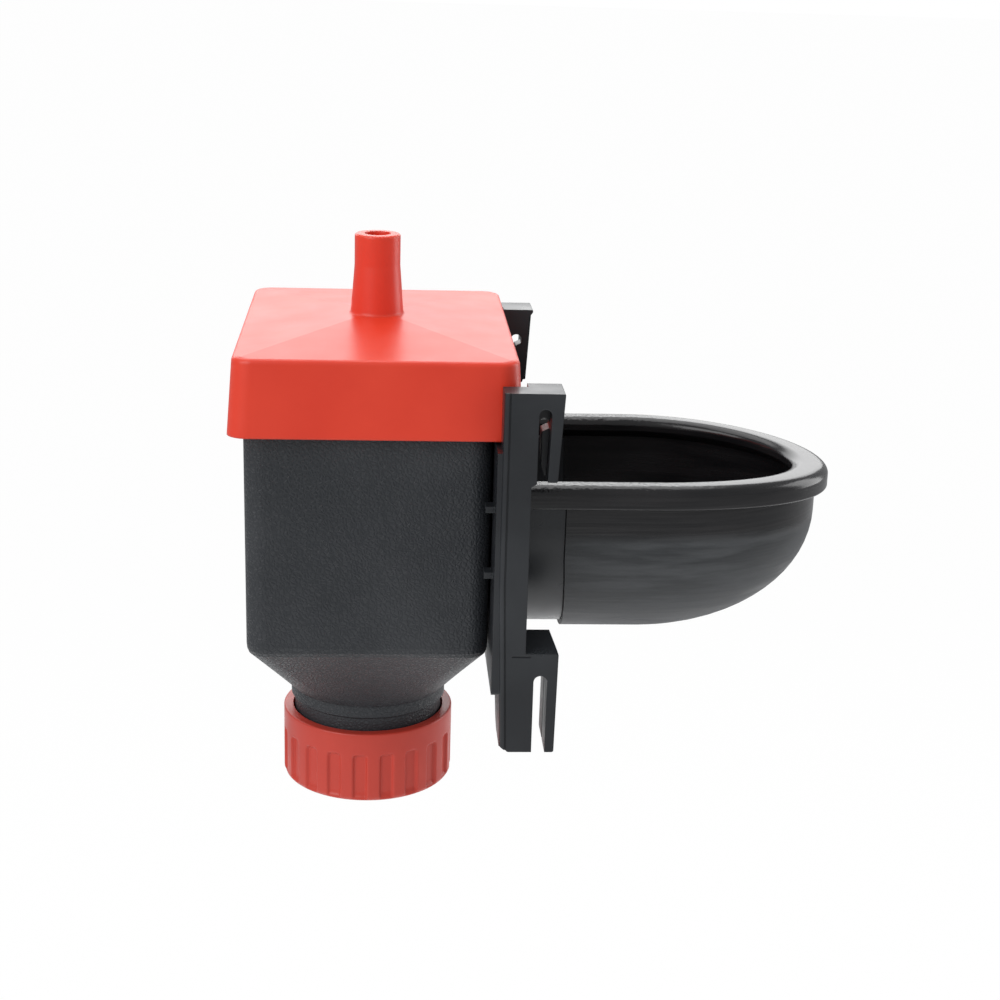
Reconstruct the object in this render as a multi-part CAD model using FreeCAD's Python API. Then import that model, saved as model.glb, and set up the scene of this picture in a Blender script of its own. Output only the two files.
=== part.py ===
"""Float cup drinker for caged poultry: a float-valve tank that hangs outside the cage, a bracket
with four downward hooks, and a trough bowl that reaches into the cage.

Millimetres. Modelled about the inlet's axis (x = y = 0), with z = 0 at the lid's lower edge and +X
towards the birds. Each piece is then moved so that the origin lies at the hanging point: midway
between the two upper hook slots, at the slots' top.
"""
import FreeCAD, Part
import math
import os

V = FreeCAD.Vector

# ---- clearances ------------------------------------------------------------------------------
GAP = 0.3                    # between mouldings that lie side by side
SEAT = 0.1                   # between faces that rest on each other
RUN = 0.05                   # radial running fit and push fit

# ---- driving dimensions ----------------------------------------------------------------------
# lid
LID_HALF_X = 36.0            # half width at the skirt's lower edge
LID_HALF_Y = 48.4
LID_DRAFT = 1.3              # how far the skirt leans in over its height
SKIRT_HEIGHT = 19.2
ROOF_RISE = 3.1
LID_WALL = 2.0
LID_CORNER = 5.0
EAVES_ROUND = 1.2
# inlet spigot
SPIGOT_HEIGHT = 42.5         # top of the spigot above the lid's lower edge
GRIP_R = 5.95                # cylinder that the hose grips
GRIP_LENGTH = 8.0
SPIGOT_ROOT_R = 6.9
INLET_BORE_R = 3.4
# valve socket under the roof
SOCKET_R = 5.2
SOCKET_WALL = 2.0
SOCKET_DEPTH = 4.5
SOCKET_MOUTH = 12.0          # height of the socket's lower end
SCREW_X = 12.0               # the valve screws stand this far from the inlet's axis
BOSS_R = 3.2
# strainer
STRAINER_FLANGE = 0.8
STRAINER_HEIGHT = 10.0
# valve body
VALVE_FLANGE = 2.4
JET_BOSS_R = 4.0
JET_BOSS_DEPTH = 3.0
EAR_GAP = 10.0
EAR_THICK = 2.0
EAR_HALF = 4.0               # half the ears' length along Y
RING_R = 0.68                # section radius of the O-ring
JET_R = 2.6
JET_BORE_R = 0.9
JET_TIP_R = 1.6
JET_REACH = 1.0              # the jet's tip stands this far below its boss
# lever and its pin
PIN_R = 1.5
PIN_Y = -9.0
PIN_DROP = 7.3               # the pin's axis below the valve body's flange
HUB_R = 3.2
LEVER_HALF = 4.0
LEVER_THICK = 3.6
LEVER_END = 21.0
TAIL = 5.0                   # the stop tail reaches this far behind the pin
OPEN_ANGLE = 13.0            # swing at which the tail meets the stop web
PAD_R = 3.2
PAD_THICK = 3.8
CUP_WALL = 1.2
PIN_HEAD_R = 2.6
CLIP_R = 3.0
CLIP_THICK = 0.6
# float
STEM_R = 1.9
STEM_Y = 14.0
NUT_FLATS = 7.0
NUT_THICK = 3.0
FLOAT_R = 17.0
FLOAT_HEIGHT = 20.0
# tank
TANK_LEFT = -32.4
TANK_RIGHT = 28.9
TANK_HALF_Y = 44.8
TANK_CORNER = 5.0
TANK_WALL = 2.2
TANK_DRAFT = 0.3
FUNNEL_TOP = -57.0
CREASE_R = 4.0               # rounding where the walls turn into the funnel
FUNNEL_BOTTOM = -81.5
COLLAR_R = 21.2
COLLAR_HEIGHT = 3.0
NECK_X = -1.5                # the neck's axis lies this far from the inlet's
NECK_R = 20.2
NECK_WALL = 2.4
NECK_BOTTOM = -103.4
# water port between tank and bracket
PORT_HALF_Y = 12.0
PORT_HALF_Z = 6.0
PORT_Z = -46.0
PORT_WALL = 1.8
SEAL_START = 0.8             # the seal's groove begins this far outside the port
SEAL_BAND = 2.8
SEAL_GROOVE = 1.2
# plate screws
FIX_Y = 25.0
FIX_Z = -8.0
FIX_R = 1.9
FIX_HEAD_R = 3.6
FIX_BOSS_WALL = 1.7
# bracket plate and posts
PLATE_THICK = 2.8
PLATE_BOTTOM = -63.5
POST_LEFT = 30.3
POST_RIGHT = 37.4            # the posts' face towards the cage
POST_INNER = 49.2
POST_OUTER = 56.4
POST_TOP = 14.0
POST_BOTTOM = -78.2
POST_EDGE = 1.3              # rounding of the posts' outer rear edges
LEG_TOP_Y = 34.2             # the legs' inner edge leaves the plate here
LEG_FOOT_Y = 38.8            # and runs out to here at the foot
LEG_CORNER = 5.0             # rounding of the legs' inner lower corner
LEG_LEAN_TOP = -35.0         # the posts' rear faces slope forwards from here down
LEG_LEAN = 1.35              # by this much at the foot
NIB_LEVELS = (-17.0, -34.0)
NIB_HEIGHT = 1.6
# upper hooks
HOOK_TIP = 44.9
HOOK_INNER = 45.5
HOOK_BOTTOM = -7.8
SLOT_LEFT = 38.7
SLOT_WIDTH = 3.1
SLOT_TOP = 6.8               # top of the seat for the wire
RECESS_TOP = 10.2
RECESS_DEPTH = 5.5
TONGUE_LEAN = 0.6            # the tongue's inner face leans in by this much
HOOK_LEAN = 1.2              # and its outer face by this much
BARB_LEDGE = 4.3             # the barb's ledge, just below the seated wire
BARB_TIP = -5.0              # its lead-in starts here
THROAT = 1.25                # opening left between barb and post
SCOOP = 1.1                  # hollow in the inner tongue's outer face
# lower hooks
LOW_HOOK_TIP = 45.6
LOW_HOOK_INNER = 39.4
LOW_HOOK_TOP = -51.9
LOW_SLOT_LEFT = 39.6
LOW_SLOT_WIDTH = 3.4
LOW_SLOT_TOP = -57.7
# trough bowl
BOWL_HALF = 36.2
BOWL_WALL = 2.2
BOWL_CORNER = 35.8
BOWL_FLOOR = -62.8
BOWL_START = 48.3            # the seam at mid height
SEAM_LEAN = 2.0              # the seam lies this much further forward at the bottom
SEAM_BEND = -34.0            # it is upright above this height
BOWL_STRAIGHT_END = 70.2
BOWL_NOSE = 49.1             # length of the rounded end, outside
NOSE_DROP = 0.045            # the rounded end falls by this much per unit of length
RIM_OUT = 2.4                # the rim stands this far outside the wall
RIM_IN = 2.9                 # and this far inside it
RIM_ROUND = 2.4
RIM_TOP = -14.3
RIM_HEIGHT = 6.0
LIP_HEIGHT = 3.6             # height of the rim's inner edge
# stub channel of the bracket
STUB_HALF = 35.7
STUB_CORNER = 35.0
STUB_FLOOR = -61.3
STUB_WALL = 2.0
LAP_END = 54.0
LAP_WALL = 1.7
SEAL_X = 51.0
SEAL_WIDTH = 1.8
SEAL_DEPTH = 0.9
# drain cap
CAP_R = 23.3
CAP_TOP = -88.5
CAP_FLOOR = 3.0
CAP_EDGE = 1.8
GASKET_THICK = 2.0
FLUTES = 20
FLUTE_TURN = -4.8            # degrees from the Y axis to the nearest flute
FLUTE_R = 2.6
FLUTE_DEPTH = 0.9
FLUTE_TOP = -94.8

# ---- sizes that follow -----------------------------------------------------------------------
ROOF_EAVES = SKIRT_HEIGHT - LID_WALL
TANK_RIM = ROOF_EAVES - SEAT
SOCKET_TOP = SOCKET_MOUTH + SOCKET_DEPTH
PLUG_R = SOCKET_R - 0.2
PLUG_TOP = SOCKET_TOP - STRAINER_FLANGE - SEAT
FLANGE_TOP = SOCKET_MOUTH - SEAT
FLANGE_LOW = FLANGE_TOP - VALVE_FLANGE
BOSS_LOW = FLANGE_LOW - JET_BOSS_DEPTH
JET_TIP = BOSS_LOW - JET_REACH
JET_TOP = FLANGE_TOP + 0.5
PIN_Z = FLANGE_LOW - PIN_DROP
PAD_TOP = JET_TIP - SEAT
PAD_LOW = PAD_TOP - PAD_THICK
LEVER_TOP = PAD_LOW + 1.4
LEVER_LOW = LEVER_TOP - LEVER_THICK
FLOAT_TOP = LEVER_LOW - 2 * NUT_THICK - 3 * RUN - GAP
PLATE_BACK = TANK_RIGHT + GAP
PLATE_FRONT = PLATE_BACK + PLATE_THICK
PLATE_TOP = TANK_RIM - 0.3
PLATE_SHOULDER = LID_HALF_Y - LID_DRAFT - LID_WALL - LID_CORNER
POST_FOOT = POST_LEFT + LEG_LEAN
NECK_BORE = NECK_R - NECK_WALL
CAP_BORE = NECK_R + 0.4
CAP_INSIDE = NECK_BOTTOM - GASKET_THICK - 2 * RUN
CAP_BOTTOM = CAP_INSIDE - CAP_FLOOR
RIM_LOW = RIM_TOP - RIM_HEIGHT
STUB_TOP = RIM_LOW - GAP
BOWL_INNER = BOWL_HALF - BOWL_WALL
LAP_HALF = BOWL_INNER - GAP
LAP_CORNER = BOWL_CORNER - BOWL_WALL - GAP
LAP_FLOOR = BOWL_FLOOR + BOWL_WALL + GAP
ORIGIN = V(SLOT_LEFT + SLOT_WIDTH / 2, 0, SLOT_TOP)


# ---- helpers ---------------------------------------------------------------------------------
def at_x(x):
    """Plane x = const: outline coordinates are (y, z)."""
    return lambda u, v: V(x, u, v)


def at_y(y):
    """Plane y = const: outline coordinates are (x, z)."""
    return lambda u, v: V(u, y, v)


def at_z(z):
    """Plane z = const: outline coordinates are (x, y)."""
    return lambda u, v: V(u, v, z)


def rounded_wire(corners, plane):
    """Closed wire through corners (u, v, radius): each corner becomes an arc of its own radius."""
    edges, last, first = [], None, None
    for i, (u, v, radius) in enumerate(corners):
        here = V(u, v, 0)
        back = V(*corners[i - 1][:2], 0) - here
        ahead = V(*corners[(i + 1) % len(corners)][:2], 0) - here
        back.normalize()
        ahead.normalize()
        half = back.getAngle(ahead) / 2
        reach = radius / math.tan(half)
        start, end = here + back * reach, here + ahead * reach
        if last is not None and (start - last).Length > 1e-6:
            edges.append(Part.makeLine(plane(last.x, last.y), plane(start.x, start.y)))
        if radius:
            middle = here + (back + ahead).normalize() * (radius / math.sin(half) - radius)
            arc = Part.Arc(plane(start.x, start.y), plane(middle.x, middle.y), plane(end.x, end.y))
            edges.append(arc.toShape())
        last = end
        first = first or start
    if (first - last).Length > 1e-6:
        edges.append(Part.makeLine(plane(last.x, last.y), plane(first.x, first.y)))
    return Part.Wire(edges)


def prism(corners, plane, along):
    """Solid from a rounded outline pushed along a vector."""
    return Part.Face(rounded_wire(corners, plane)).extrude(along)


def box(x0, x1, y0, y1, z0, z1):
    """Box between two opposite corners."""
    return Part.makeBox(x1 - x0, y1 - y0, z1 - z0, V(x0, y0, z0))


def tube(radius, z0, z1, x=0.0, y=0.0):
    """Upright cylinder from z0 to z1."""
    return Part.makeCylinder(radius, z1 - z0, V(x, y, z0))


def cross_tube(radius, x0, x1, y, z):
    """Cylinder along X from x0 to x1."""
    return Part.makeCylinder(radius, x1 - x0, V(x0, y, z), V(1, 0, 0))


def turned(points, x=0.0, y=0.0):
    """Solid turned about an upright axis from a profile of (radius, z) points."""
    loop = [V(r, 0, z) for r, z in points]
    face = Part.Face(Part.makePolygon(loop + loop[:1]))
    return face.revolve(V(0, 0, 0), V(0, 0, 1), 360).translated(V(x, y, 0))


def plan_wire(x0, x1, half_y, corner, z):
    """Level rectangle with rounded corners: four arcs and four sides."""
    corners = [(x0, -half_y), (x1, -half_y), (x1, half_y), (x0, half_y)]
    return rounded_wire([(u, v, corner) for u, v in corners], at_z(z))


def ring_wire(radius, x, z):
    """Level circle in eight arcs that pair with the arcs and sides of a plan_wire."""
    edges, angle = [], -150.0
    for i in range(8):
        sweep = 60.0 if i % 2 else 30.0
        points = [V(x + radius * math.cos(math.radians(a)), radius * math.sin(math.radians(a)), z)
                  for a in (angle, angle + sweep / 2, angle + sweep)]
        edges.append(Part.Arc(*points).toShape())
        angle += sweep
    return Part.Wire(edges)


def level_edges(shape, z):
    """Edges that lie in the level plane z."""
    return [e for e in shape.Edges
            if abs(e.BoundBox.ZMin - z) < 1e-3 and abs(e.BoundBox.ZMax - z) < 1e-3]


def trough(half, corner, floor, top):
    """U-shaped outline, open at the top, as rounded corners in (y, z)."""
    return [(-half, top, 0), (-half, floor, corner), (half, floor, corner), (half, top, 0)]


def mirrored(shape):
    """Mirror image across the drinker's middle plane."""
    return shape.mirror(V(0, 0, 0), V(0, 1, 0))


def port_prism(grow, x0, x1):
    """Oblong prism along X at the water port, grown by the same amount all round."""
    a, b = PORT_HALF_Y + grow, PORT_HALF_Z + grow
    ends = [cross_tube(b, x0, x1, side * (a - b), PORT_Z) for side in (-1, 1)]
    return box(x0, x1, b - a, a - b, PORT_Z - b, PORT_Z + b).fuse(ends)


# ---- lid and inlet ---------------------------------------------------------------------------
def lid_block(inset, low):
    """Solid skirt with its pyramid roof, inset by a wall's thickness on every side."""
    top = SKIRT_HEIGHT - inset
    wires = []
    for z in (low, top):
        lean = LID_DRAFT * z / SKIRT_HEIGHT + inset
        wires.append(plan_wire(lean - LID_HALF_X, LID_HALF_X - lean, LID_HALF_Y - lean,
                               LID_CORNER - inset * 0.8, z))
    skirt = Part.makeLoft(wires, True, True)
    if not inset:
        skirt = skirt.makeFillet(EAVES_ROUND, level_edges(skirt, top))
    inner = LID_DRAFT + inset + EAVES_ROUND
    half_x, half_y = LID_HALF_X - inner, LID_HALF_Y - inner
    base = [V(sx * half_x, sy * half_y, top) for sx, sy in ((-1, -1), (1, -1), (1, 1), (-1, 1))]
    peak = V(0, 0, top + ROOF_RISE)
    sides = [Part.makePolygon([base[i - 1], base[i], peak, base[i - 1]]) for i in range(4)]
    faces = [Part.Face(wire) for wire in sides + [Part.makePolygon(base + base[:1])]]
    roof = Part.Solid(Part.Shell(faces))
    frame = Part.Face(plan_wire(-half_x, half_x, half_y, LID_CORNER - EAVES_ROUND, top - 1))
    return skirt.fuse(roof.common(frame.extrude(V(0, 0, ROOF_RISE + 2))))


def make_lid():
    """Red moulded lid: drafted skirt, low pyramid roof, inlet spigot, valve socket and bosses."""
    lid = lid_block(0, 0).cut(lid_block(LID_WALL, -1))
    roof = SKIRT_HEIGHT + ROOF_RISE
    grip = SPIGOT_HEIGHT - GRIP_LENGTH
    lid = lid.fuse(turned([(0, roof - 1), (SPIGOT_ROOT_R + 0.5, roof - 1), (SPIGOT_ROOT_R, roof),
                           (GRIP_R, grip), (GRIP_R, SPIGOT_HEIGHT - 0.4),
                           (GRIP_R - 0.4, SPIGOT_HEIGHT), (0, SPIGOT_HEIGHT)]))
    lid = lid.fuse(tube(SOCKET_R + SOCKET_WALL, SOCKET_MOUTH, roof - 1))
    web_top = ROOF_EAVES + ROOF_RISE * 0.5
    lid = lid.fuse(box(-SCREW_X, SCREW_X, -0.8, 0.8, SOCKET_MOUTH + 1, web_top))
    for side in (-1, 1):
        lid = lid.fuse(tube(BOSS_R, SOCKET_MOUTH, web_top, side * SCREW_X))
        lid = lid.cut(valve_screw_hole(side, RUN))
    lid = lid.cut(tube(INLET_BORE_R, SOCKET_MOUTH, SPIGOT_HEIGHT + 1))
    return lid.cut(tube(SOCKET_R, SOCKET_MOUTH - 1, SOCKET_TOP)).removeSplitter()


def valve_screw_hole(side, grow):
    """Shank of one valve screw, grown by a clearance."""
    return tube(1.2 + grow, FLANGE_LOW - 1, FLANGE_TOP + 5 + grow, side * SCREW_X)


def make_strainer():
    """Slotted thimble with a flange that lies at the top of the lid's socket."""
    low = PLUG_TOP + SEAT / 2
    high = low + STRAINER_HEIGHT
    wall_r = INLET_BORE_R - GAP
    cup = tube(SOCKET_R - GAP, low, SOCKET_TOP - SEAT / 2).fuse(tube(wall_r, low, high))
    cup = cup.cut(tube(wall_r - 0.8, low - 1, high - 0.8))
    for turn in range(0, 180, 45):
        slot = box(-wall_r - 1, wall_r + 1, -0.4, 0.4, low + 2.5, high - 1.6)
        cup = cup.cut(slot.rotate(V(0, 0, 0), V(0, 0, 1), turn))
    return cup


# ---- float valve -----------------------------------------------------------------------------
def make_valve_body():
    """Moulded valve body: grooved plug, oblong flange, jet boss, two ears and the stop web."""
    body = tube(PLUG_R, FLANGE_LOW, PLUG_TOP)
    groove_z = (FLANGE_TOP + PLUG_TOP) / 2
    neck_r = SOCKET_R - RUN - 2 * RING_R - RUN
    band = tube(PLUG_R + 1, groove_z - RING_R - RUN, groove_z + RING_R + RUN)
    body = body.cut(band.cut(tube(neck_r, FLANGE_LOW, PLUG_TOP)))
    reach, half = SCREW_X + 4.0, 7.0
    flange = prism([(-reach, -half, 5), (reach, -half, 5), (reach, half, 5), (-reach, half, 5)],
                   at_z(FLANGE_LOW), V(0, 0, VALVE_FLANGE))
    outer, back = EAR_GAP / 2 + EAR_THICK, PIN_Y - EAR_HALF - 1
    bridge = box(-outer, outer, back, 0, FLANGE_LOW, FLANGE_TOP)
    ear = prism([(PIN_Y - EAR_HALF, PIN_Z - HUB_R, 3), (PIN_Y + EAR_HALF, PIN_Z - HUB_R, 3),
                 (PIN_Y + EAR_HALF, FLANGE_LOW + 1, 0), (PIN_Y - EAR_HALF, FLANGE_LOW + 1, 0)],
                at_x(EAR_GAP / 2), V(EAR_THICK, 0, 0))
    web = box(-outer, outer, back, back + 1.6, stop_height(), FLANGE_LOW + 1)
    boss = tube(JET_BOSS_R, BOSS_LOW, FLANGE_LOW + 1)
    body = body.fuse([flange, bridge, ear, ear.mirror(V(0, 0, 0), V(1, 0, 0)), web, boss])
    body = body.cut(cross_tube(PIN_R + RUN, -outer - 1, outer + 1, PIN_Y, PIN_Z))
    body = body.cut(tube(JET_R + RUN, BOSS_LOW - 1, JET_TOP + RUN))
    body = body.cut(tube(JET_R - 1, BOSS_LOW, PLUG_TOP + 1))
    for side in (-1, 1):
        body = body.cut(valve_screw_hole(side, 0.2))
    return body.removeSplitter()


def stop_height():
    """Height at which the lever's tail meets the web when the valve is fully open."""
    swing = math.radians(OPEN_ANGLE)
    rise = LEVER_TOP - PIN_Z
    return PIN_Z + TAIL * math.sin(swing) + rise * math.cos(swing) + RUN


def make_body_ring():
    """O-ring in the valve body's groove, against the socket's wall."""
    return Part.makeTorus(SOCKET_R - RUN - RING_R, RING_R, V(0, 0, (FLANGE_TOP + PLUG_TOP) / 2))


def make_jet():
    """Turned brass jet: straight body pushed into the boss, coned nozzle below."""
    return turned([(JET_BORE_R, JET_TIP), (JET_TIP_R - 0.3, JET_TIP), (JET_TIP_R, JET_TIP + 0.3),
                   (JET_R, BOSS_LOW - 0.1), (JET_R, JET_TOP - 0.4), (JET_R - 0.4, JET_TOP),
                   (JET_BORE_R + 0.3, JET_TOP), (JET_BORE_R, JET_TOP - 0.3)])


def make_valve_screws():
    """Two pan-head screws that hold the valve body to the lid's bosses."""
    screws = []
    for side in (-1, 1):
        head = FLANGE_LOW - RUN
        screw = turned([(0, head - 1.8), (1.6, head - 1.8), (2.4, head - 1.2), (2.4, head),
                        (1.2, head), (1.2, FLANGE_TOP + 4), (0.6, FLANGE_TOP + 4.8),
                        (0, FLANGE_TOP + 4.8)], side * SCREW_X)
        for turn in (0, 90):
            slot = box(-1.2, 1.2, -0.25, 0.25, head - 2, head - 0.9).rotate(V(0, 0, 0), V(0, 0, 1), turn)
            screw = screw.cut(slot.translated(V(side * SCREW_X, 0, 0)))
        screws.append(screw)
    return Part.makeCompound(screws)


def make_lever():
    """Float lever: hub on the pin, pad cup under the jet, stop tail and a hole for the stem."""
    end = LEVER_HALF * 0.99
    bar = prism([(-LEVER_HALF, PIN_Y - TAIL, 0.5), (LEVER_HALF, PIN_Y - TAIL, 0.5),
                 (LEVER_HALF, LEVER_END, end), (-LEVER_HALF, LEVER_END, end)],
                at_z(LEVER_LOW), V(0, 0, LEVER_THICK))
    hub_half = EAR_GAP / 2 - 0.2
    lever = bar.fuse([cross_tube(HUB_R, -hub_half, hub_half, PIN_Y, PIN_Z),
                      tube(PAD_R + CUP_WALL, LEVER_LOW, PAD_TOP - 1.2),
                      tube(LEVER_HALF + 0.6, LEVER_LOW, LEVER_TOP, 0, STEM_Y)])
    lever = lever.cut(cross_tube(PIN_R + RUN, -hub_half - 1, hub_half + 1, PIN_Y, PIN_Z))
    lever = lever.cut(tube(PAD_R + RUN, PAD_LOW - RUN, PAD_TOP))
    return lever.cut(tube(STEM_R + RUN, LEVER_LOW - 1, LEVER_TOP + 1, 0, STEM_Y)).removeSplitter()


def make_pad():
    """Rubber pad that shuts the jet."""
    return tube(PAD_R, PAD_LOW, PAD_TOP)


def make_pin():
    """Steel pin with a flat head, through both ears and the lever's hub."""
    reach = EAR_GAP / 2 + EAR_THICK
    pin = cross_tube(PIN_R, -reach - 0.5, reach + 1.6, PIN_Y, PIN_Z)
    return pin.fuse(cross_tube(PIN_HEAD_R, -reach - SEAT - 0.9, -reach - SEAT, PIN_Y, PIN_Z))


def make_pin_clip():
    """Push-on star washer that keeps the pin in."""
    start = EAR_GAP / 2 + EAR_THICK + SEAT
    clip = cross_tube(CLIP_R, start, start + CLIP_THICK, PIN_Y, PIN_Z)
    clip = clip.cut(cross_tube(PIN_R + RUN, start - 1, start + 2, PIN_Y, PIN_Z))
    for turn in range(0, 360, 60):
        notch = box(start - 1, start + 2, PIN_Y - 0.3, PIN_Y + 0.3, PIN_Z, PIN_Z + PIN_R + 0.6)
        clip = clip.cut(notch.rotate(V(0, PIN_Y, PIN_Z), V(1, 0, 0), turn))
    return clip


def make_stem():
    """Stem that carries the float under the lever."""
    return tube(STEM_R, FLOAT_TOP - FLOAT_HEIGHT * 0.7, LEVER_TOP + NUT_THICK + 1.5, 0, STEM_Y)


def nut(z0):
    """Hexagon nut on the stem, its corners turned off, with its lower face at z0."""
    corner = NUT_FLATS / math.sqrt(3)
    points = [V(corner, 0, z0)]
    points = [points[0].add(V(corner * (math.cos(math.radians(a)) - 1), corner * math.sin(math.radians(a)), 0))
              for a in range(0, 361, 60)]
    block = Part.Face(Part.makePolygon(points)).extrude(V(0, 0, NUT_THICK))
    flat = NUT_FLATS / 2
    high = z0 + NUT_THICK
    dome = turned([(STEM_R + RUN, z0), (flat, z0), (corner, z0 + 0.35), (corner, high - 0.35),
                   (flat, high), (STEM_R + RUN, high)])
    return block.common(dome).translated(V(0, STEM_Y, 0))


def make_nuts():
    """Three nuts: above and below the lever, and on the float."""
    return Part.makeCompound([nut(LEVER_TOP + RUN), nut(LEVER_LOW - RUN - NUT_THICK), nut(FLOAT_TOP + RUN)])


def make_float():
    """Closed float, round with rounded edges, with a blind hole for the stem."""
    block = tube(FLOAT_R, FLOAT_TOP - FLOAT_HEIGHT, FLOAT_TOP, 0, STEM_Y)
    edges = level_edges(block, FLOAT_TOP) + level_edges(block, FLOAT_TOP - FLOAT_HEIGHT)
    block = block.makeFillet(2.0, edges)
    return block.cut(tube(STEM_R + RUN, FLOAT_TOP - FLOAT_HEIGHT * 0.7 - RUN, FLOAT_TOP + 1, 0, STEM_Y))


# ---- tank ------------------------------------------------------------------------------------
def tank_block(inset, top, neck_r):
    """Solid drafted box, rounded over into its square-to-round funnel, inset by a wall's thickness."""
    reach = TANK_HALF_Y - COLLAR_R
    bend = math.atan2(reach, FUNNEL_TOP - FUNNEL_BOTTOM)
    share = ((TANK_RIGHT - TANK_LEFT) / 2 - COLLAR_R) / reach
    levels = [(top, 0)]
    for angle in (0, bend / 2, bend):
        levels.append((FUNNEL_TOP + CREASE_R * (math.tan(bend / 2) - math.sin(angle)),
                       CREASE_R * (1 - math.cos(angle))))
    wires = []
    for z, turn_in in levels:
        lean = inset + TANK_DRAFT * min(1, (TANK_RIM - z) / (TANK_RIM - FUNNEL_TOP))
        wires.append(plan_wire(TANK_LEFT + lean + turn_in * share, TANK_RIGHT - inset - turn_in * share,
                               TANK_HALF_Y - lean - turn_in, TANK_CORNER - inset * 0.6, z))
    return Part.makeLoft(wires + [ring_wire(neck_r, NECK_X, FUNNEL_BOTTOM)], True, True)


def make_tank():
    """Black moulded tank: drafted box, funnel, collar and neck, with the water port in its side."""
    collar = FUNNEL_BOTTOM - COLLAR_HEIGHT
    outer = tank_block(0, TANK_RIM, COLLAR_R).fuse(
        turned([(0, FUNNEL_BOTTOM + 1), (COLLAR_R - 2, FUNNEL_BOTTOM + 1), (COLLAR_R, FUNNEL_BOTTOM),
                (COLLAR_R, collar), (NECK_R, collar - 0.8), (NECK_R, NECK_BOTTOM + 0.8),
                (NECK_R - 0.8, NECK_BOTTOM), (0, NECK_BOTTOM)], NECK_X))
    tank = outer.cut(tank_block(TANK_WALL, TANK_RIM + 1, NECK_BORE))
    tank = tank.cut(tube(NECK_BORE, NECK_BOTTOM - 1, FUNNEL_BOTTOM + 0.5, NECK_X))
    tank = tank.cut(port_prism(0, TANK_RIGHT - TANK_WALL - 1, TANK_RIGHT + 1))
    inside, tip = TANK_RIGHT - TANK_WALL / 2, TANK_RIGHT - TANK_WALL - 6.5
    for side in (-1, 1):
        tank = tank.fuse(cross_tube(FIX_R + FIX_BOSS_WALL, tip, inside, side * FIX_Y, FIX_Z))
        tank = tank.cut(cross_tube(FIX_R + RUN, tip + 1.5, TANK_RIGHT + 1, side * FIX_Y, FIX_Z))
    return tank.removeSplitter()


# ---- bracket ---------------------------------------------------------------------------------
def make_plate():
    """The +Y half of the plate, stepped in where it enters the lid."""
    half = [(0, PLATE_BOTTOM, 0), (POST_OUTER - 1, PLATE_BOTTOM, 1), (POST_OUTER - 1, -1, 0),
            (PLATE_SHOULDER, -1, 0), (PLATE_SHOULDER, PLATE_TOP, 1), (0, PLATE_TOP, 0)]
    return prism(half, at_x(PLATE_BACK), V(PLATE_THICK, 0, 0))


def post_wire(left, z):
    """Level section of a post whose rear face lies at x = left."""
    return rounded_wire([(left, POST_INNER, 0.5), (POST_RIGHT, POST_INNER, 0),
                         (POST_RIGHT, POST_OUTER, 0), (left, POST_OUTER, POST_EDGE)], at_z(z))


def make_post():
    """One upright post on the +Y side, sloping forwards at the foot, and the leg inside it."""
    post = Part.makeLoft([post_wire(POST_LEFT, POST_TOP), post_wire(POST_LEFT, LEG_LEAN_TOP),
                          post_wire(POST_FOOT, POST_BOTTOM)], True, True)
    side = prism([(POST_LEFT, LEG_LEAN_TOP, 0), (POST_FOOT, POST_BOTTOM, 0), (POST_RIGHT, POST_BOTTOM, 0),
                  (POST_RIGHT, LEG_LEAN_TOP, 0)], at_y(0), V(0, POST_OUTER, 0))
    middle = (POST_INNER + POST_OUTER) / 2
    leg = prism([(LEG_TOP_Y, PLATE_BOTTOM, 0), (LEG_FOOT_Y, POST_BOTTOM, LEG_CORNER),
                 (middle, POST_BOTTOM, 0), (middle, LOW_HOOK_TOP, 0), (LEG_TOP_Y, LOW_HOOK_TOP, 2)],
                at_x(POST_LEFT), V(POST_RIGHT - POST_LEFT, 0, 0))
    chamfer = prism([(POST_FOOT - 2.1, POST_BOTTOM + 2.4, 0), (POST_FOOT + 4.2, POST_BOTTOM - 1.2, 0),
                     (POST_FOOT - 2.1, POST_BOTTOM - 1.2, 0)], at_y(POST_INNER - 1), V(0, 10, 0))
    line = prism([(POST_LEFT + POST_EDGE, POST_TOP + 1, 0), (POST_LEFT + POST_EDGE, LEG_LEAN_TOP, 0),
                  (POST_FOOT + POST_EDGE, POST_BOTTOM - 1, 0), (POST_FOOT + POST_EDGE + 0.4, POST_BOTTOM - 1, 0),
                  (POST_LEFT + POST_EDGE + 0.4, LEG_LEAN_TOP, 0), (POST_LEFT + POST_EDGE + 0.4, POST_TOP + 1, 0)],
                 at_y(POST_OUTER - 0.3), V(0, 1, 0))
    return post.cut([chamfer, line]).fuse(leg.common(side))


def slot_profile(left, width, top, low, lean):
    """Slot for the cage wire: round top, open below, its outer side leaning inwards."""
    half = width / 2 * 0.98
    return [(left, low - 1, 0), (left, top, half), (left + width, top, half),
            (left + width, top - width, 0), (left + width - lean, low - 1, 0)]


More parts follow.
